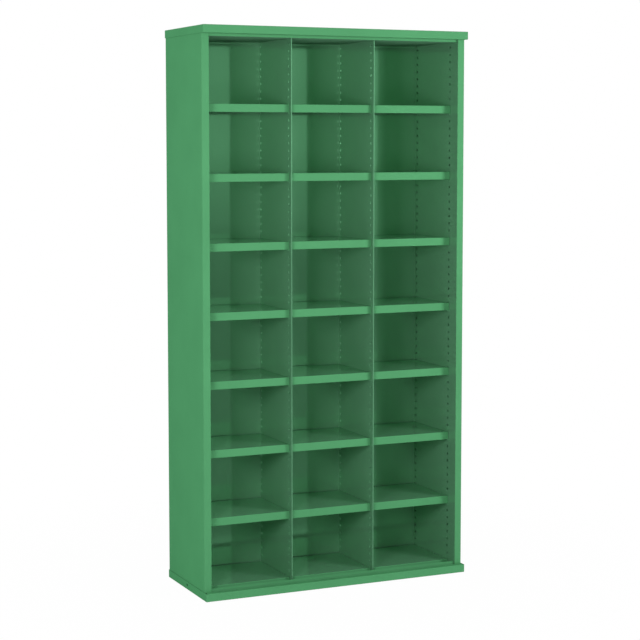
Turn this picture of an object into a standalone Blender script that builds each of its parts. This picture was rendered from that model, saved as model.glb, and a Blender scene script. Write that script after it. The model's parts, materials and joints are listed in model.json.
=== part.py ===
# Open-fronted steel bin cabinet: a folded sheet carcass, two perforated partitions, and loose shelves
# that lie on studs in the rows of holes. Metres, +Z up, the front faces -Y.
# The origin is on the floor under the middle of the cabinet.

from math import radians

import bpy
import bmesh
from mathutils import Matrix, Vector

for old in list(bpy.data.objects):
    bpy.data.objects.remove(old, do_unlink=True)

# Overall size over the cap and base, and the grid of compartments
WIDTH = 0.937
DEPTH = 0.355
HEIGHT = 1.820
COLUMN_NAMES = ("left", "middle", "right")
ROWS = 8

# Sheet steel, its visible folds, tight on lips and wider on upright edges, and the gaps between pieces
SHEET = 0.0009
LIP_BEND = 0.0006
UPRIGHT_BEND = 0.0022
FIT = 0.0003
TRAY_FIT = 0.0009

# Cap and base: lip height, the front lip's inward return, and the cut-back at the return's ends
TRAY_LIP = 0.0255
TRAY_RETURN = 0.020
RETURN_RELIEF = 0.003
FIXING_HOLE = 0.009
FIXING_HEIGHT = 0.015

# Double-skinned sides: how far the cap reaches past them in front, and the width of their front flange
FRONT_OVERHANG = 0.022
SIDE_WALL = 0.0245
WALL_FLANGE = 0.012

# Strips above and below the compartments, the ceiling and the rear panel
STRIP_SETBACK = 0.008
CEILING_DROP = 0.0336
CEILING_FLANGE = 0.020
CEILING_REAR_LIP = 0.0065
CEILING_REAR_BEND = 0.005
CEILING_REAR_RELIEF = 0.003
FOOTER_TOP = 0.034
FOOTER_FLANGE = 0.020
REAR_RECESS = 0.035

# Partitions
PARTITION_SETBACK = 0.031
HEM_WIDTH = 0.0032
HEM_DEPTH = 0.009
HEM_ROUND = 0.0010

# Shelves: a slot parts the front lip from the side flanges, and the lip's return is mitred at its ends
FLOOR_SHELF_TOP = 0.031
SHELF_SETBACK = 0.0175
SHELF_REAR_GAP = 0.0065
SHELF_SIDE_GAP = 0.0008
SHELF_LIP = 0.0258
SHELF_LIP_RETURN = 0.010
SHELF_RETURN_MITRE = 0.016
SHELF_SLOT = 0.002
SHELF_FLANGE = 0.0231

# Rows of square holes and the studs in some of them
HOLE = 0.007
HOLE_PITCH = 0.024545
FRONT_HOLES = 0.023
REAR_HOLES = 0.011
CEILING_MARGIN = 0.010
STUD = 0.0066
STUD_REACH = 0.0032

# Paint: the same green throughout, a little duller inside
SHELL_GREEN = (0.102, 0.407, 0.168, 1.0)
INSIDE_GREEN = (0.094, 0.380, 0.156, 1.0)
PAINT_ROUGHNESS = 0.42

LIP_FOLD = SHEET + LIP_BEND
UPRIGHT_FOLD = SHEET + UPRIGHT_BEND
LIP_SEGMENTS = 2
SHELF_SEGMENTS = 1
UPRIGHT_SEGMENTS = 3
STRAIGHT_CUT = 1
MERGE = 1e-6
LONG = 4 * WIDTH

# Places that follow from the sizes above
half_width = WIDTH / 2
front_edge = -DEPTH / 2
rear_edge = DEPTH / 2
skin_x = half_width - SHEET - TRAY_FIT
inner_x = skin_x - SIDE_WALL
flange_y = front_edge + FRONT_OVERHANG
skin_rear_y = rear_edge - SHEET - TRAY_FIT
panel_y = rear_edge - REAR_RECESS
strip_y = flange_y + STRIP_SETBACK
partition_y = flange_y + PARTITION_SETBACK
foot_z = SHEET + FIT
head_z = HEIGHT - SHEET - FIT
ceiling_z = HEIGHT - CEILING_DROP
ceiling_rear = panel_y - FIT - SHEET
partition_rear = ceiling_rear - FIT

columns = len(COLUMN_NAMES)
bay = (2 * inner_x - (columns - 1) * SHEET) / columns
bay_x = [-inner_x + bay / 2 + i * (bay + SHEET) for i in range(columns)]
partition_x = [-inner_x + (i + 1) * (bay + SHEET) - SHEET / 2 for i in range(columns - 1)]

shelf_y = partition_y + SHELF_SETBACK
shelf_width = bay - 2 * SHELF_SIDE_GAP
shelf_depth = panel_y - SHELF_REAR_GAP - shelf_y

# Each shelf lies on a stud that is one of the holes in a row, a whole number of holes above the last
first_hole_z = FLOOR_SHELF_TOP - SHELF_FLANGE - FIT - STUD / 2
hole_count = int((ceiling_z - CEILING_MARGIN - first_hole_z) / HOLE_PITCH) + 1
shelf_step = round((ceiling_z - FLOOR_SHELF_TOP) / ROWS / HOLE_PITCH)
shelf_tops = [FLOOR_SHELF_TOP + i * shelf_step * HOLE_PITCH for i in range(ROWS)]
hole_ys = (partition_y + FRONT_HOLES, panel_y - REAR_HOLES)

parts = bpy.data.collections.new("bin_cabinet")
cutters = bpy.data.collections.new("cutters")
for made in (parts, cutters):
    bpy.context.scene.collection.children.link(made)
cutters.hide_render = True


def paint(name, colour):
    material = bpy.data.materials.new(name)
    material.use_nodes = True
    shader = material.node_tree.nodes["Principled BSDF"]
    shader.inputs["Base Color"].default_value = colour
    shader.inputs["Roughness"].default_value = PAINT_ROUGHNESS
    shader.inputs["Metallic"].default_value = 0.0
    return material


def add_box(bm, low, high):
    low, high = Vector(low), Vector(high)
    place = Matrix.Translation((low + high) / 2) @ Matrix.Diagonal((*(high - low), 1.0))
    return bmesh.ops.create_cube(bm, size=1.0, matrix=place)


def facing(bm, *directions):
    bm.normal_update()
    return [face for face in bm.faces for way in directions if face.normal.dot(Vector(way)) > 0.99]


def remove_faces(bm, faces):
    bmesh.ops.delete(bm, geom=faces, context="FACES")


def cut(bm, faces, point, normal):
    edges = {edge for face in faces for edge in face.edges}
    verts = {vert for face in faces for vert in face.verts}
    geometry = list(faces) + list(edges) + list(verts)
    bmesh.ops.bisect_plane(bm, geom=geometry, plane_co=point, plane_no=normal, dist=1e-7)


def edges_where(bm, test):
    return [edge for edge in bm.edges if all(test(vert.co) for vert in edge.verts)]


def turn(bm, edges, offset):
    grown = bmesh.ops.extrude_edge_only(bm, edges=edges)["geom"]
    moved = [item for item in grown if isinstance(item, bmesh.types.BMVert)]
    bmesh.ops.translate(bm, verts=moved, vec=offset)


def round_folds(bm, edges, radius, segments):
    bmesh.ops.bevel(bm, geom=edges, offset=radius, offset_type="OFFSET", segments=segments,
                    profile=0.5, affect="EDGES")


def near(a, b):
    return abs(a - b) < MERGE


def mesh_from(bm, name):
    bm.normal_update()
    mesh = bpy.data.meshes.new(name)
    bm.to_mesh(mesh)
    bm.free()
    return mesh


def add_part(name, mesh, material, sheet=True, slotted=False):
    piece = bpy.data.objects.new(name, mesh)
    parts.objects.link(piece)
    if not mesh.materials:
        mesh.materials.append(material)
    if sheet:
        solid = piece.modifiers.new("Sheet", "SOLIDIFY")
        solid.thickness = SHEET
        solid.offset = -1.0
        solid.use_even_offset = True
        if slotted:
            # This mode keeps the sheet's thickness where a fold ends at a slot
            solid.solidify_mode = "NON_MANIFOLD"
            solid.nonmanifold_merge_threshold = MERGE
    return piece


def add_cutter(name, bm):
    piece = bpy.data.objects.new(name, mesh_from(bm, name))
    cutters.objects.link(piece)
    piece.hide_render = True
    piece.display_type = "WIRE"
    return piece


def combine(piece, other, operation):
    boolean = piece.modifiers.new(other.name, "BOOLEAN")
    boolean.operation = operation
    boolean.object = other
    boolean.solver = "EXACT"


def mirrored(mesh, name):
    bm = bmesh.new()
    bm.from_mesh(mesh)
    bmesh.ops.scale(bm, vec=(-1.0, 1.0, 1.0), verts=bm.verts)
    bmesh.ops.reverse_faces(bm, faces=bm.faces)
    return mesh_from(bm, name)


# Cap: a tray folded down over the carcass, with its front lip returned towards the side flanges
def cap_mesh(name):
    bm = bmesh.new()
    add_box(bm, (-half_width, front_edge, HEIGHT - TRAY_LIP), (half_width, rear_edge, HEIGHT))
    remove_faces(bm, facing(bm, (0, 0, -1)))
    corners = [edge for edge in bm.edges if not near(edge.verts[0].co.z, edge.verts[1].co.z)]
    round_folds(bm, corners, UPRIGHT_FOLD, UPRIGHT_SEGMENTS)
    return_end = half_width - UPRIGHT_FOLD - RETURN_RELIEF
    for side in (-1, 1):
        cut(bm, facing(bm, (0, -1, 0)), (side * return_end, 0, 0), (1, 0, 0))
    rim = [edge for edge in bm.edges if len(edge.link_faces) == 2 and edge.calc_face_angle() > 1]
    lower = edges_where(bm, lambda co: near(co.y, front_edge) and near(co.z, HEIGHT - TRAY_LIP)
                        and abs(co.x) < return_end + RETURN_RELIEF / 2)
    turn(bm, lower, (0, TRAY_RETURN, 0))
    round_folds(bm, rim + lower, LIP_FOLD, LIP_SEGMENTS)
    return mesh_from(bm, name)


def flipped(mesh, name):
    bm = bmesh.new()
    bm.from_mesh(mesh)
    bmesh.ops.transform(bm, matrix=Matrix.Translation((0, 0, HEIGHT)) @ Matrix.Diagonal((1, 1, -1, 1)),
                        verts=bm.verts)
    bmesh.ops.reverse_faces(bm, faces=bm.faces)
    return mesh_from(bm, name)


cap_shape = cap_mesh("top_cap")
add_part("top_cap", cap_shape, paint("cap_paint", SHELL_GREEN))
base_tray = add_part("base_tray", flipped(cap_shape, "base_tray"), paint("base_paint", SHELL_GREEN))


# Sides: an outer skin with a flange in front and behind
def side_mesh(name):
    bm = bmesh.new()
    add_box(bm, (-skin_x, flange_y, foot_z), (-inner_x, skin_rear_y, head_z))
    remove_faces(bm, facing(bm, (1, 0, 0), (0, 0, 1), (0, 0, -1)))
    uprights = [edge for edge in bm.edges if len(edge.link_faces) == 2]
    round_folds(bm, uprights, UPRIGHT_FOLD, UPRIGHT_SEGMENTS)
    return mesh_from(bm, name)


side_shape = side_mesh("side_panel_left")
side_panels = [
    add_part("side_panel_left", side_shape, paint("left_side_paint", SHELL_GREEN)),
    add_part("side_panel_right", mirrored(side_shape, "side_panel_right"),
             paint("right_side_paint", SHELL_GREEN)),
]

# One fixing hole goes through each side of the base and the skin behind it
bm = bmesh.new()
along_x = Matrix.Translation((0, 0, FIXING_HEIGHT)) @ Matrix.Rotation(radians(90), 4, "Y")
for side in (-1, 1):
    place = Matrix.Translation((side * half_width, 0, 0)) @ along_x
    bmesh.ops.create_cone(bm, cap_ends=True, segments=10, radius1=FIXING_HOLE / 2,
                          radius2=FIXING_HOLE / 2, depth=SIDE_WALL, matrix=place)
fixing_holes = add_cutter("fixing_holes", bm)
for piece in (base_tray, *side_panels):
    combine(piece, fixing_holes, "DIFFERENCE")

# Rows of square holes, cut through all four perforated walls; under a shelf a stud takes a hole's place
bm = bmesh.new()
for row_y in hole_ys:
    for i in range(hole_count):
        if i % shelf_step == 0 and i // shelf_step < ROWS:
            continue
        z = first_hole_z + i * HOLE_PITCH
        add_box(bm, (-LONG, row_y - HOLE / 2, z - HOLE / 2), (LONG, row_y + HOLE / 2, z + HOLE / 2))
hole_rows = add_cutter("hole_rows", bm)


def add_studs(name, from_x, to_x):
    bm = bmesh.new()
    for row_y in hole_ys:
        for top in shelf_tops:
            z = top - SHELF_FLANGE - FIT
            add_box(bm, (from_x, row_y - STUD / 2, z - STUD), (to_x, row_y + STUD / 2, z))
    return add_cutter(name, bm)


# Inner walls: perforated sheets with a flange to the front and one to the rear, inside the double side
def inner_wall_mesh(name):
    bm = bmesh.new()
    add_box(bm, (-inner_x - WALL_FLANGE, flange_y + SHEET + FIT, foot_z), (-inner_x, panel_y - FIT, head_z))
    remove_faces(bm, facing(bm, (-1, 0, 0), (0, 0, 1), (0, 0, -1)))
    return mesh_from(bm, name)


wall_shape = inner_wall_mesh("inner_wall_left")
for side, name in ((-1, "inner_wall_left"), (1, "inner_wall_right")):
    shape = wall_shape if side < 0 else mirrored(wall_shape, name)
    wall = add_part(name, shape, paint(name + "_paint", INSIDE_GREEN))
    reach = sorted((side * (inner_x + SHEET / 2), side * (inner_x - STUD_REACH)))
    combine(wall, hole_rows, "DIFFERENCE")
    combine(wall, add_studs(name + "_studs", *reach), "UNION")


# Partitions: single sheets whose front edge is folded back on itself, and whose top rear corner is cut off
# to clear the bend of the ceiling
def partition_mesh(name, x):
    bm = bmesh.new()
    top = ceiling_z - FIT
    add_box(bm, (x - SHEET / 2, partition_y, foot_z), (x + SHEET / 2, partition_rear, top))
    corner = edges_where(bm, lambda co: near(co.y, partition_rear) and near(co.z, top))
    round_folds(bm, corner, CEILING_REAR_BEND, STRAIGHT_CUT)
    cut(bm, list(bm.faces), (0, partition_y + HEM_DEPTH, 0), (0, 1, 0))
    for side in (-1, 1):
        hem = [face for face in facing(bm, (side, 0, 0))
               if face.calc_center_median().y < partition_y + HEM_DEPTH]
        grown = bmesh.ops.extrude_discrete_faces(bm, faces=hem)["faces"]
        shift = (side * (HEM_WIDTH - SHEET) / 2, 0, 0)
        bmesh.ops.translate(bm, verts=[vert for face in grown for vert in face.verts], vec=shift)
    bmesh.ops.remove_doubles(bm, verts=bm.verts, dist=1e-7)
    front = edges_where(bm, lambda co: near(co.y, partition_y) and near(abs(co.x - x), HEM_WIDTH / 2))
    upright = [edge for edge in front if abs(edge.verts[0].co.z - edge.verts[1].co.z) > HEM_DEPTH]
    round_folds(bm, upright, HEM_ROUND, LIP_SEGMENTS)
    return mesh_from(bm, name)


for name, x in zip(("partition_left", "partition_right"), partition_x):
    wall = add_part(name, partition_mesh(name, x), paint(name + "_paint", INSIDE_GREEN), sheet=False)
    reach = SHEET / 2 + STUD_REACH
    combine(wall, hole_rows, "DIFFERENCE")
    combine(wall, add_studs(name + "_studs", x - reach, x + reach), "UNION")

# Rear panel: a flat sheet between the side skins
bm = bmesh.new()
panel_x = skin_x - SHEET - FIT
add_box(bm, (-panel_x, panel_y, foot_z), (panel_x, panel_y + SHEET, head_z))
add_part("rear_panel", mesh_from(bm, "rear_panel"), paint("rear_panel_paint", INSIDE_GREEN), sheet=False)

# Ceiling: its front flange is the strip under the cap, and a small lip turns down at the rear panel
bm = bmesh.new()
between_x = inner_x - FIT
add_box(bm, (-between_x, strip_y, ceiling_z), (between_x, ceiling_rear, head_z))
remove_faces(bm, facing(bm, (0, 0, 1), (0, 1, 0)))
side_faces = facing(bm, (1, 0, 0), (-1, 0, 0))
cut(bm, side_faces, (0, strip_y + SHEET + FIT, 0), (0, 1, 0))
joins = [face for face in facing(bm, (1, 0, 0), (-1, 0, 0))
         if face.calc_center_median().y < strip_y + SHEET + FIT]
remove_faces(bm, joins)
for vert in bm.verts:
    if near(vert.co.z, head_z) and vert.co.y > strip_y + SHEET:
        vert.co.z = ceiling_z + CEILING_FLANGE
lip_end = between_x - CEILING_REAR_RELIEF
for side in (-1, 1):
    cut(bm, facing(bm, (0, 0, -1)), (side * lip_end, 0, 0), (1, 0, 0))
rear_line = edges_where(bm, lambda co: near(co.y, ceiling_rear) and near(co.z, ceiling_z)
                        and abs(co.x) < lip_end + CEILING_REAR_RELIEF / 2)
turn(bm, rear_line, (0, 0, -CEILING_REAR_LIP))
round_folds(bm, rear_line, CEILING_REAR_BEND, UPRIGHT_SEGMENTS)
add_part("ceiling_panel", mesh_from(bm, "ceiling_panel"), paint("ceiling_paint", INSIDE_GREEN), slotted=True)

# Footer: an angle that stands on the base, in front of the lowest shelves
bm = bmesh.new()
add_box(bm, (-between_x, strip_y, foot_z), (between_x, strip_y + FOOTER_FLANGE, FOOTER_TOP))
remove_faces(bm, facing(bm, (0, 0, 1), (0, 1, 0), (1, 0, 0), (-1, 0, 0)))
add_part("footer_rail", mesh_from(bm, "footer_rail"), paint("footer_paint", SHELL_GREEN))


# Shelf: a sheet with a front lip that is returned behind, and flanges at its sides and rear.
# The lip reaches from wall to wall, and the ends of its return are mitred to clear the studs.
def shelf_mesh(name):
    bm = bmesh.new()
    right, rear = shelf_width / 2, shelf_depth / 2
    flange_start, return_edge = SHELF_SLOT - rear, SHELF_LIP_RETURN - rear
    add_box(bm, (-right, -rear, -SHELF_LIP), (right, rear, 0))
    remove_faces(bm, facing(bm, (0, 0, -1)))
    cut(bm, facing(bm, (1, 0, 0), (-1, 0, 0)), (0, flange_start, 0), (0, 1, 0))
    slots = [face for face in facing(bm, (1, 0, 0), (-1, 0, 0))
             if face.calc_center_median().y < flange_start]
    remove_faces(bm, slots)
    for vert in bm.verts:
        if near(vert.co.z, -SHELF_LIP) and vert.co.y > flange_start - SHELF_SLOT / 2:
            vert.co.z = -SHELF_FLANGE
    upper = edges_where(bm, lambda co: near(co.z, 0) and near(co.y, -rear))
    lower = edges_where(bm, lambda co: near(co.z, -SHELF_LIP) and near(co.y, -rear))
    turn(bm, lower, (0, SHELF_LIP_RETURN, 0))
    for vert in bm.verts:
        if near(vert.co.z, -SHELF_LIP) and near(vert.co.y, return_edge):
            vert.co.x *= 1 - SHELF_RETURN_MITRE / right
    round_folds(bm, upper + lower, LIP_FOLD, SHELF_SEGMENTS)
    return mesh_from(bm, name)


shelf_shape = shelf_mesh("shelf")
shelf_paint = paint("shelf_paint", INSIDE_GREEN)
for column, x in zip(COLUMN_NAMES, bay_x):
    for row, top in enumerate(shelf_tops):
        shelf = add_part(f"shelf_{column}_{row + 1}", shelf_shape, shelf_paint, slotted=True)
        shelf.location = (x, shelf_y + shelf_depth / 2, top)
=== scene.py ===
import json
import math
import bmesh
import bpy
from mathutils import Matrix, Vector


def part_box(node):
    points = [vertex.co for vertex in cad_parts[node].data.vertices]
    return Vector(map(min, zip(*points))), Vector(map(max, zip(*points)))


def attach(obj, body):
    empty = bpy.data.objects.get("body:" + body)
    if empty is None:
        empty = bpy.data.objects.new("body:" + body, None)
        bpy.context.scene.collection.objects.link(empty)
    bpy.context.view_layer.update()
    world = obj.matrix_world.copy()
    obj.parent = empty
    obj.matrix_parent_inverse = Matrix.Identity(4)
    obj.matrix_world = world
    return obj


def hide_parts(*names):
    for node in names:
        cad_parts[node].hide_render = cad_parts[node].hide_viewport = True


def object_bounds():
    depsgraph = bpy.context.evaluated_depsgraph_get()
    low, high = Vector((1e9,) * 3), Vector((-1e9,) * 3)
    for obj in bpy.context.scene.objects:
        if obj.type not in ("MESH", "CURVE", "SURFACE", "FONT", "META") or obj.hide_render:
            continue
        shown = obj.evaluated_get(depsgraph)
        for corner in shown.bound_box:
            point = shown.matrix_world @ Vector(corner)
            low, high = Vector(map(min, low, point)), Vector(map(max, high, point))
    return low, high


# Dresses the steel bin cabinet: folded sheets in green enamel, softboxes, a white floor and the camera
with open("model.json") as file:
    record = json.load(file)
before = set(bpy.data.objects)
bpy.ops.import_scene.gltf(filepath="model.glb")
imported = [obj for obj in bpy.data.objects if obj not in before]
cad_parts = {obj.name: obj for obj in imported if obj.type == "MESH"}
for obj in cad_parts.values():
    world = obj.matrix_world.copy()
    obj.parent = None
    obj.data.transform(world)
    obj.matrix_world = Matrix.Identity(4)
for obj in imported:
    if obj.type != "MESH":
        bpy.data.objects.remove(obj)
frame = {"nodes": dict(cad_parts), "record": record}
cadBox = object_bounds()
print("frame loaded:", len(frame["nodes"]), "nodes")


def addNode(tree, kind, **settings):
    node = tree.nodes.new(kind)
    for name, value in settings.items():
        setattr(node, name, value)
    return node


def mathNode(tree, operation, first, second):
    node = addNode(tree, "ShaderNodeMath", operation=operation)
    for socket, value in zip(node.inputs, (first, second)):
        if isinstance(value, (int, float)):
            socket.default_value = value
        else:
            tree.links.new(value, socket)
    return node.outputs["Value"]


def noiseNode(tree, coords, size, detail):
    noise = addNode(tree, "ShaderNodeTexNoise")
    noise.inputs["Scale"].default_value = 1 / size
    noise.inputs["Detail"].default_value = detail
    tree.links.new(coords, noise.inputs["Vector"])
    return noise.outputs["Fac"]


def rangeNode(tree, value, fromEnds, toEnds=(0.0, 1.0)):
    node = addNode(tree, "ShaderNodeMapRange")
    for name, amount in zip(("From Min", "From Max", "To Min", "To Max"), (*fromEnds, *toEnds)):
        node.inputs[name].default_value = amount
    tree.links.new(value, node.inputs["Value"])
    return node.outputs["Result"]


def bumpNode(tree, height, depth):
    bump = addNode(tree, "ShaderNodeBump")
    bump.inputs["Strength"].default_value = 1.0
    bump.inputs["Distance"].default_value = depth
    tree.links.new(height, bump.inputs["Height"])
    return bump


def mixColours(tree, share, first, second):
    node = addNode(tree, "ShaderNodeMix", data_type="RGBA")
    tree.links.new(share, node.inputs[0])
    node.inputs[6].default_value = first  # 6 and 7 are the node's colour sockets, and 2 its colour result
    node.inputs[7].default_value = second
    return node.outputs[2]


def mixShaders(tree, share, first, second):
    node = addNode(tree, "ShaderNodeMixShader")
    for socket, value in zip(node.inputs, (share, first, second)):
        tree.links.new(value, socket)
    return node.outputs["Shader"]


# Enamel: green, deeper in faint clouds, over sheet that is never quite flat.
# It is faintly glossy outside. Inside it is a darker, greyer copy that mirrors in its own hue, which is
# painted shade for the bays. Under the ceiling it is a matt copy, which is painted shade there.
enamel = {
    "shellGreens": ((0.094, 0.347, 0.150, 1.0), (0.100, 0.366, 0.159, 1.0)),
    # The inside greens are darker and greyer than the shell greens of the same enamel: painted shade inside
    # the bays.
    "insideGreens": ((0.127, 0.308, 0.181, 1.0), (0.134, 0.324, 0.190, 1.0)),
    "shellFinish": {"Metallic": 0.1, "Specular Tint": (0.45, 1.0, 0.6, 1.0), "Specular IOR Level": 0.0},
    "insideFinish": {"IOR": 2.4, "Specular Tint": (0.29, 1.0, 0.46, 1.0)},
    # The ceiling finish takes the gloss off the inside enamel so that the ceiling renders dark: painted
    # shade.
    "ceilingFinish": {"Specular IOR Level": 0.0},
    "roughness": (0.075, 0.105),
    "cloud": {"size": 0.16, "detail": 4.0, "ends": (0.35, 0.65)},
    "smear": {"size": 0.035, "detail": 3.0, "ends": (0.3, 0.7)},
    "wave": {"size": 0.42, "detail": 0.0, "depth": 0.0018},
    "peel": {"size": 0.0022, "detail": 1.0, "depth": 0.000006},
}


def enamelMaterial(name, greens, finish):
    material = bpy.data.materials.new(name)
    material.use_nodes = True
    tree = material.node_tree
    shader = tree.nodes["Principled BSDF"]
    coords = addNode(tree, "ShaderNodeTexCoord").outputs["Object"]

    def pattern(form):
        return noiseNode(tree, coords, enamel[form]["size"], enamel[form]["detail"])

    cloud = rangeNode(tree, pattern("cloud"), enamel["cloud"]["ends"])
    tree.links.new(mixColours(tree, cloud, *greens), shader.inputs["Base Color"])
    smear = rangeNode(tree, pattern("smear"), enamel["smear"]["ends"], enamel["roughness"])
    tree.links.new(smear, shader.inputs["Roughness"])
    wave = bumpNode(tree, pattern("wave"), enamel["wave"]["depth"])
    peel = bumpNode(tree, pattern("peel"), enamel["peel"]["depth"])
    tree.links.new(wave.outputs["Normal"], peel.inputs["Normal"])
    tree.links.new(peel.outputs["Normal"], shader.inputs["Normal"])
    for socket, value in finish.items():
        shader.inputs[socket].default_value = value
    return material


# Shell, inside and ceiling are lit and shaded copies of one enamel. The inside and ceiling copies carry
# painted shade.
paints = {
    "shell": enamelMaterial("shell_enamel", enamel["shellGreens"], enamel["shellFinish"]),
    "inside": enamelMaterial("inside_enamel", enamel["insideGreens"], enamel["insideFinish"]),
    "ceiling": enamelMaterial("ceiling_enamel", enamel["insideGreens"], enamel["ceilingFinish"]),
}
print("enamel mixed in", len(paints), "finishes")

# Folded sheets: each starts as a block, loses its open sides, and gets rounded folds and a wall
sheetMetal = {
    "gauge": 0.0009,
    "gap": 0.0003,
    "lipFold": 0.0015,
    "uprightFold": 0.0031,
    "foldSegments": 6,
    "edgeSoftness": 0.00016,
    "edgeSegments": 2,
    "smoothAngle": math.radians(40),
    "sharpFold": math.radians(57),
    "flatAngle": math.radians(1),
    "sameWay": 0.99,
    "near": 0.00001,
    "merge": 0.000001,
}


def clearSelection():
    if bpy.context.mode != "OBJECT":
        bpy.ops.object.mode_set(mode="OBJECT")
    bpy.ops.object.select_all(action="DESELECT")


def takeUp(piece):
    clearSelection()
    piece.select_set(True)
    bpy.context.view_layer.objects.active = piece


def startBlock(name, low, high):
    clearSelection()
    low, high = Vector(low), Vector(high)
    bpy.ops.mesh.primitive_cube_add(size=1, location=(low + high) / 2, scale=high - low)
    piece = bpy.context.object
    piece.name = piece.data.name = name
    bpy.ops.object.transform_apply(location=True, rotation=True, scale=True)
    bpy.ops.object.mode_set(mode="EDIT")
    return piece


def pick(piece, kind, test):
    bpy.ops.mesh.select_mode(type=kind)
    bpy.ops.mesh.select_all(action="DESELECT")
    cage = bmesh.from_edit_mesh(piece.data)
    for item in {"VERT": cage.verts, "EDGE": cage.edges, "FACE": cage.faces}[kind]:
        if test(item):
            item.select_set(True)
    bmesh.update_edit_mesh(piece.data)


def near(first, second):
    return abs(first - second) < sheetMetal["near"]


def facing(*directions):
    return lambda face: any(face.normal.dot(Vector(way)) > sheetMetal["sameWay"] for way in directions)


def middle(item):
    return sum((vert.co for vert in item.verts), Vector()) / len(item.verts)


def lies(item, **place):
    return all(near(getattr(vert.co, axis), value) for vert in item.verts for axis, value in place.items())


def isFold(edge):
    return len(edge.link_faces) == 2 and edge.calc_face_angle() > sheetMetal["sharpFold"]


def openSides(piece, *directions):
    pick(piece, "FACE", facing(*directions))
    bpy.ops.mesh.delete(type="FACE")


def cutAcross(piece, faces, point, normal):
    pick(piece, "FACE", faces)
    bpy.ops.mesh.bisect(plane_co=point, plane_no=normal)


def turnEdge(piece, edges, offset):
    pick(piece, "EDGE", edges)
    bpy.ops.mesh.extrude_edges_indiv()
    bpy.ops.transform.translate(value=offset)


def shiftVerts(piece, verts, offset):
    pick(piece, "VERT", verts)
    bpy.ops.transform.translate(value=offset)


def roundFolds(piece, edges, radius):
    pick(piece, "EDGE", edges)
    bpy.ops.mesh.bevel(offset=radius, offset_type="OFFSET", segments=sheetMetal["foldSegments"],
                       profile=0.5, affect="EDGES", clamp_overlap=False)


def applyModifier(piece, kind, **settings):
    modifier = piece.modifiers.new(kind.lower(), kind)
    for name, value in settings.items():
        setattr(modifier, name, value)
    takeUp(piece)
    bpy.ops.object.modifier_apply(modifier=modifier.name)


def giveWall(piece, slotted=False):
    bpy.ops.object.mode_set(mode="OBJECT")
    # An offset of -1 puts the wall behind the faces
    settings = {"thickness": sheetMetal["gauge"], "offset": -1.0, "use_even_offset": True}
    if slotted:  # the complex mode, for folds that end at a slot
        settings.update(solidify_mode="NON_MANIFOLD", nonmanifold_merge_threshold=sheetMetal["merge"])
    applyModifier(piece, "SOLIDIFY", **settings)


def softenEdges(piece):
    applyModifier(piece, "BEVEL", width=sheetMetal["edgeSoftness"], segments=sheetMetal["edgeSegments"],
                  limit_method="ANGLE", angle_limit=sheetMetal["sharpFold"])
    takeUp(piece)
    bpy.ops.object.shade_smooth_by_angle(angle=sheetMetal["smoothAngle"])
    applyModifier(piece, "WEIGHTED_NORMAL", keep_sharp=True)


bodyOf = {node: body for body, nodes in frame["record"]["behaviour"]["bodies"].items() for node in nodes}


def dress(piece, node, *names):
    piece.data.materials.clear()
    for name in names:
        piece.data.materials.append(paints[name])
    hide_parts(node)
    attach(piece, bodyOf[node])


front, rear = -1, 1  # the two ends of a piece along y


# Paints the faces at one end of a piece in another copy of the enamel, so that lit and shaded copies meet on
# one sheet.
def paintEnd(piece, end, depth, name):
    slot = piece.data.materials.find(paints[name].name)
    endY = max(end * vert.co.y for vert in piece.data.vertices)
    for face in piece.data.polygons:
        if end * face.center.y > endY - depth:
            face.material_index = slot


# Cap and base are trays whose front lip returns behind, and the side skins stand inside their lips.
# A skin is open wider than the base's fixing hole in front of it.
tray = {
    "returnDepth": 0.020,
    "returnRelief": 0.003,
    "fixingHole": 0.009,
    "skinClearance": 0.018,
    "holeSides": 32,
    "fixingHeight": 0.015,
    "fixingReach": 0.012,
}


def traySheet(name, node, plateUp):
    low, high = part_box(node)
    plateZ, lipZ = (high.z, low.z) if plateUp else (low.z, high.z)
    piece = startBlock(name, low, high)
    openSides(piece, (0, 0, -1 if plateUp else 1))
    roundFolds(piece, lambda edge: near(edge.verts[0].co.x, edge.verts[1].co.x)
               and near(edge.verts[0].co.y, edge.verts[1].co.y), sheetMetal["uprightFold"])
    returnEnd = high.x - sheetMetal["uprightFold"] - tray["returnRelief"]
    for side in (-1, 1):
        cutAcross(piece, facing((0, -1, 0)), (side * returnEnd, 0, 0), (1, 0, 0))

    def isLower(edge):
        return lies(edge, y=low.y, z=lipZ) and abs(middle(edge).x) < returnEnd

    turnEdge(piece, isLower, (0, tray["returnDepth"], 0))
    roundFolds(piece, lambda edge: lies(edge, z=plateZ) or isLower(edge), sheetMetal["lipFold"])
    giveWall(piece)
    return piece


def sideSheet(name, node, inward):
    low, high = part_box(node)
    piece = startBlock(name, low, high)
    openSides(piece, (inward, 0, 0), (0, 0, 1), (0, 0, -1))
    roundFolds(piece, isFold, sheetMetal["uprightFold"])
    giveWall(piece)
    return piece


def drillFixings(size, *pieces):
    for side in (-1, 1):
        clearSelection()
        bpy.ops.mesh.primitive_cylinder_add(vertices=tray["holeSides"], radius=size / 2,
                                            depth=2 * tray["fixingReach"],
                                            location=(side * cadBox[1].x, 0, tray["fixingHeight"]),
                                            rotation=(0, math.pi / 2, 0))
        drill = bpy.context.object
        for piece in pieces:
            applyModifier(piece, "BOOLEAN", operation="DIFFERENCE", object=drill, solver="EXACT")
        bpy.data.objects.remove(drill, do_unlink=True)


capSheet = traySheet("cap_sheet", "top_cap", True)
baseSheet = traySheet("base_sheet", "base_tray", False)
leftSheet = sideSheet("side_sheet_left", "side_panel_left", 1)
rightSheet = sideSheet("side_sheet_right", "side_panel_right", -1)
drillFixings(tray["fixingHole"], baseSheet)
drillFixings(tray["skinClearance"], leftSheet, rightSheet)
for piece, node in ((capSheet, "top_cap"), (baseSheet, "base_tray"),
                    (leftSheet, "side_panel_left"), (rightSheet, "side_panel_right")):
    softenEdges(piece)
    dress(piece, node, "shell")
print("cap, base and sides folded")

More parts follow.
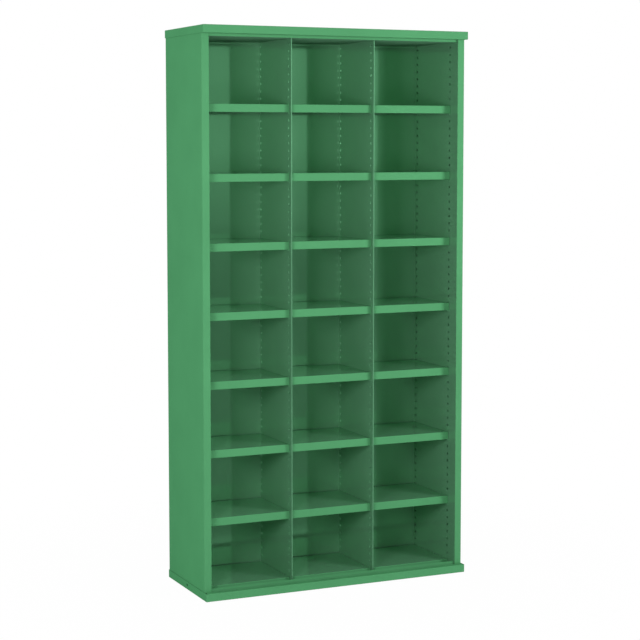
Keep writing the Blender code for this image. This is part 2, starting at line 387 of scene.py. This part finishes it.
# Ceiling, whose front flange is the strip under the cap, and footer, the strip above the base
ceiling = {
    "rearLip": 0.0065,
    "rearBend": 0.005,
    "rearRelief": 0.003,
    "sideFlange": 0.020,
}


def ceilingSheet(name, node):
    low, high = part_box(node)
    high.y -= sheetMetal["gauge"]  # the rear lip's wall lies behind its fold
    plateZ = low.z + ceiling["rearLip"]
    piece = startBlock(name, (low.x, low.y, plateZ), high)
    openSides(piece, (0, 0, 1), (0, 1, 0))
    joinY = low.y + sheetMetal["gauge"] + sheetMetal["gap"]
    ends = facing((1, 0, 0), (-1, 0, 0))
    cutAcross(piece, ends, (0, joinY, 0), (0, 1, 0))
    pick(piece, "FACE", lambda face: ends(face) and middle(face).y < joinY)
    bpy.ops.mesh.delete(type="FACE")
    shiftVerts(piece, lambda vert: near(vert.co.z, high.z) and vert.co.y > low.y + sheetMetal["gauge"],
               (0, 0, plateZ + ceiling["sideFlange"] - high.z))
    lipEnd = high.x - ceiling["rearRelief"]
    for side in (-1, 1):
        cutAcross(piece, facing((0, 0, -1)), (side * lipEnd, 0, 0), (1, 0, 0))

    def isRear(edge):
        return lies(edge, y=high.y, z=plateZ) and abs(middle(edge).x) < lipEnd

    turnEdge(piece, isRear, (0, 0, -ceiling["rearLip"]))
    roundFolds(piece, isRear, ceiling["rearBend"])
    roundFolds(piece, lambda edge: lies(edge, y=low.y, z=plateZ), sheetMetal["lipFold"])
    giveWall(piece, slotted=True)
    return piece


def footerSheet(name, node):
    low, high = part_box(node)
    piece = startBlock(name, low, high)
    openSides(piece, (0, 0, 1), (0, 1, 0), (1, 0, 0), (-1, 0, 0))
    roundFolds(piece, isFold, sheetMetal["lipFold"])
    giveWall(piece)
    return piece


ceilingPiece = ceilingSheet("ceiling_sheet", "ceiling_panel")
softenEdges(ceilingPiece)
# The ceiling's underside takes the matt copy, which is painted shade. Its front flange takes the shell copy.
# Its rear bend takes the glossy inside copy, so a thin light line shows there against the matt underside.
dress(ceilingPiece, "ceiling_panel", "ceiling", "shell", "inside")
paintEnd(ceilingPiece, front, sheetMetal["lipFold"], "shell")
paintEnd(ceilingPiece, rear, ceiling["rearBend"], "inside")
footerPiece = footerSheet("footer_sheet", "footer_rail")
softenEdges(footerPiece)
dress(footerPiece, "footer_rail", "shell")
print("ceiling and footer folded")

# Shelves: one is folded, the rest are copies
shelf = {
    "lipReturn": 0.010,
    "returnMitre": 0.016,
    "slot": 0.002,
    "flange": 0.0231,
}


def shelfSheet(name, node):
    low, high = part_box(node)
    piece = startBlock(name, low, high)
    openSides(piece, (0, 0, -1))
    slotY = low.y + shelf["slot"]
    ends = facing((1, 0, 0), (-1, 0, 0))
    cutAcross(piece, ends, (0, slotY, 0), (0, 1, 0))
    pick(piece, "FACE", lambda face: ends(face) and middle(face).y < slotY)
    bpy.ops.mesh.delete(type="FACE")
    shiftVerts(piece, lambda vert: near(vert.co.z, low.z) and vert.co.y > low.y + shelf["slot"] / 2,
               (0, 0, high.z - shelf["flange"] - low.z))
    turnEdge(piece, lambda edge: lies(edge, y=low.y, z=low.z), (0, shelf["lipReturn"], 0))
    for sideX, inward in ((low.x, 1), (high.x, -1)):
        shiftVerts(piece, lambda vert: near(vert.co.x, sideX) and near(vert.co.y, low.y + shelf["lipReturn"])
                   and near(vert.co.z, low.z), (inward * shelf["returnMitre"], 0, 0))
    roundFolds(piece, isFold, sheetMetal["lipFold"])
    giveWall(piece, slotted=True)
    return piece


shelfNodes = sorted(name for name in frame["nodes"] if name.startswith("shelf_"))
firstShelf = shelfSheet(shelfNodes[0].replace("shelf_", "shelf_sheet_"), shelfNodes[0])
softenEdges(firstShelf)
shelfPieces = [firstShelf]
for node in shelfNodes[1:]:
    takeUp(firstShelf)
    bpy.ops.object.duplicate()
    piece = bpy.context.object
    piece.name = piece.data.name = node.replace("shelf_", "shelf_sheet_")
    piece.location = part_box(node)[0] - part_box(shelfNodes[0])[0]
    bpy.ops.object.transform_apply(location=True, rotation=False, scale=False)
    shelfPieces.append(piece)
# Shelf tops take the darker inside copy and their front lips the shell copy: one sheet painted in shaded and
# lit copies of the enamel.
for piece, node in zip(shelfPieces, shelfNodes):
    dress(piece, node, "inside", "shell")
    paintEnd(piece, front, sheetMetal["lipFold"], "shell")
print("shelves folded:", len(shelfPieces))


# Walls, partitions and rear: the frame's own sheets, merged, with soft edges at holes, studs and hems
def frameSheet(name, node):
    clearSelection()
    piece = bpy.data.objects.new(name, frame["nodes"][node].data.copy())
    bpy.context.scene.collection.objects.link(piece)
    takeUp(piece)
    bpy.ops.object.mode_set(mode="EDIT")
    bpy.ops.mesh.select_all(action="SELECT")
    bpy.ops.mesh.remove_doubles(threshold=sheetMetal["merge"])
    bpy.ops.mesh.dissolve_limited(angle_limit=sheetMetal["flatAngle"])
    bpy.ops.object.mode_set(mode="OBJECT")
    return piece


# Walls and partitions take the darker inside copy of the enamel: painted shade.
for node in ("inner_wall_left", "inner_wall_right", "partition_left", "partition_right"):
    piece = frameSheet(node.replace("inner_", "") + "_sheet", node)
    softenEdges(piece)
    dress(piece, node, "inside")
rearPiece = frameSheet("rear_sheet", "rear_panel")
softenEdges(rearPiece)
# The rear panel's inner face takes the darker inside copy, which is painted shade, and its back face takes
# the shell copy.
dress(rearPiece, "rear_panel", "inside", "shell")
paintEnd(rearPiece, rear, sheetMetal["near"], "shell")
print("walls, partitions and rear softened")

# Studio: a white floor and surround, and softboxes that light the cabinet but don't show in its gloss.
# A softbox has a name, degrees from the front with minus for left, distance, height, size and watts.
studio = {
    "fill": 0.38,
    "surround": 1.0,
    "floorGrey": (0.8, 0.8, 0.8, 1.0),
    "floorWhite": (0.985, 1.0),
    "floorWhiteReach": (0.5, 1.6),
    # The floor's mirror image is set dim in front of the cabinet: painted shade.
    "floorMirror": 0.35,
    "floorMirrorHalf": 20.0,
    "sweepEdge": (-0.6, -0.1),
    "floorSize": 400.0,
    "softboxes": (
        ("softbox_left", -42, 3.0, 1.42, (0.6, 0.7), 29.5),
        ("softbox_front", -28, 2.6, 0.9, (0.4, 0.4), 5),
        ("softbox_right", 36, 2.3, 1.4, (0.5, 1.2), 24),
        ("softbox_side", -95, 2.6, 2.2, (0.8, 0.7), 7.5),
        ("softbox_rear", 165, 3.2, 1.7, (1.2, 1.0), 22),
    ),
    "aimHeight": 1.3,
}


def studioWorld():
    world = bpy.data.worlds.new("studio")
    world.use_nodes = True
    tree = world.node_tree
    tree.nodes.clear()
    path = addNode(tree, "ShaderNodeLightPath").outputs
    seen = mathNode(tree, "MAXIMUM", path["Is Camera Ray"], path["Is Glossy Ray"])
    seen = mathNode(tree, "MAXIMUM", seen, path["Is Transmission Ray"])
    glows = []
    for strength in (studio["fill"], studio["surround"]):
        glow = addNode(tree, "ShaderNodeBackground")
        glow.inputs["Color"].default_value = (1, 1, 1, 1)
        glow.inputs["Strength"].default_value = strength
        glows.append(glow.outputs["Background"])
    output = addNode(tree, "ShaderNodeOutputWorld")
    tree.links.new(mixShaders(tree, seen, *glows), output.inputs["Surface"])
    bpy.context.scene.world = world


def floorMaterial():
    material = bpy.data.materials.new("floor_white")
    material.use_nodes = True
    tree = material.node_tree
    shader = tree.nodes["Principled BSDF"]
    shader.inputs["Base Color"].default_value = studio["floorGrey"]
    shader.inputs["Roughness"].default_value = 1.0
    shader.inputs["Specular IOR Level"].default_value = 0.0
    path = addNode(tree, "ShaderNodeLightPath").outputs
    coords = addNode(tree, "ShaderNodeTexCoord").outputs["Object"]
    length = addNode(tree, "ShaderNodeVectorMath", operation="LENGTH")
    tree.links.new(coords, length.inputs[0])
    away = length.outputs["Value"]
    place = addNode(tree, "ShaderNodeSeparateXYZ")
    tree.links.new(coords, place.inputs["Vector"])
    # To the camera it is white, but for a faint shadow near the cabinet
    direct = mathNode(tree, "MULTIPLY", path["Is Camera Ray"],
                      rangeNode(tree, away, studio["floorWhiteReach"], studio["floorWhite"]))
    white = addNode(tree, "ShaderNodeEmission")
    whitened = mixShaders(tree, direct, shader.outputs["BSDF"], white.outputs["Emission"])
    # In the gloss it glows grey before the cabinet, which is painted shade in its mirror image, and it pales
    # far off and behind
    inMirror = mathNode(tree, "MAXIMUM", path["Is Glossy Ray"], path["Is Transmission Ray"])
    square = mathNode(tree, "MULTIPLY", away, away)
    paling = mathNode(tree, "DIVIDE", square, mathNode(tree, "ADD", square, studio["floorMirrorHalf"] ** 2))
    inFront = mathNode(tree, "MAXIMUM", paling, studio["floorMirror"])
    behind = rangeNode(tree, place.outputs["Y"], studio["sweepEdge"])
    image = addNode(tree, "ShaderNodeEmission")
    tree.links.new(mathNode(tree, "MAXIMUM", inFront, behind), image.inputs["Strength"])
    surface = mixShaders(tree, inMirror, whitened, image.outputs["Emission"])
    tree.links.new(surface, tree.nodes["Material Output"].inputs["Surface"])
    return material


def softbox(name, azimuth, distance, height, size, watts):
    data = bpy.data.lights.new(name, "AREA")
    data.shape = "RECTANGLE"
    data.size, data.size_y = size
    data.energy = watts
    lamp = bpy.data.objects.new(name, data)
    bpy.context.scene.collection.objects.link(lamp)
    turn = math.radians(azimuth)
    lamp.location = (math.sin(turn) * distance, -math.cos(turn) * distance, height)
    aim = Vector((0, 0, min(height, studio["aimHeight"])))
    lamp.rotation_euler = (aim - lamp.location).to_track_quat("-Z", "Y").to_euler()
    lamp.visible_glossy = False


studioWorld()
clearSelection()
bpy.ops.mesh.primitive_plane_add(size=studio["floorSize"])
floor = bpy.context.object
floor.name = "floor"
floor.data.materials.append(floorMaterial())
for lampSettings in studio["softboxes"]:
    softbox(*lampSettings)
print("studio lit by", len(studio["softboxes"]), "softboxes")

# Camera at the photograph's angle, with turn and pitch in radians and lens and sensor in millimetres
cameraSet = {
    "place": (-2.3858, -5.2201, 1.4647),
    "turn": -0.4302,
    "pitch": 0.0857,
    "lens": 97.23,
    "sensor": 36.0,
    "shiftY": -0.05,
}
cameraData = bpy.data.cameras.new("camera")
cameraData.sensor_width = cameraSet["sensor"]
cameraData.lens = cameraSet["lens"]
cameraData.shift_y = cameraSet["shiftY"]
camera = bpy.data.objects.new("camera", cameraData)
bpy.context.scene.collection.objects.link(camera)
camera.location = cameraSet["place"]
camera.rotation_euler = (math.pi / 2 - cameraSet["pitch"], 0, cameraSet["turn"])
bpy.context.scene.camera = camera
bpy.context.scene.view_settings.view_transform = "Standard"
print("camera set")
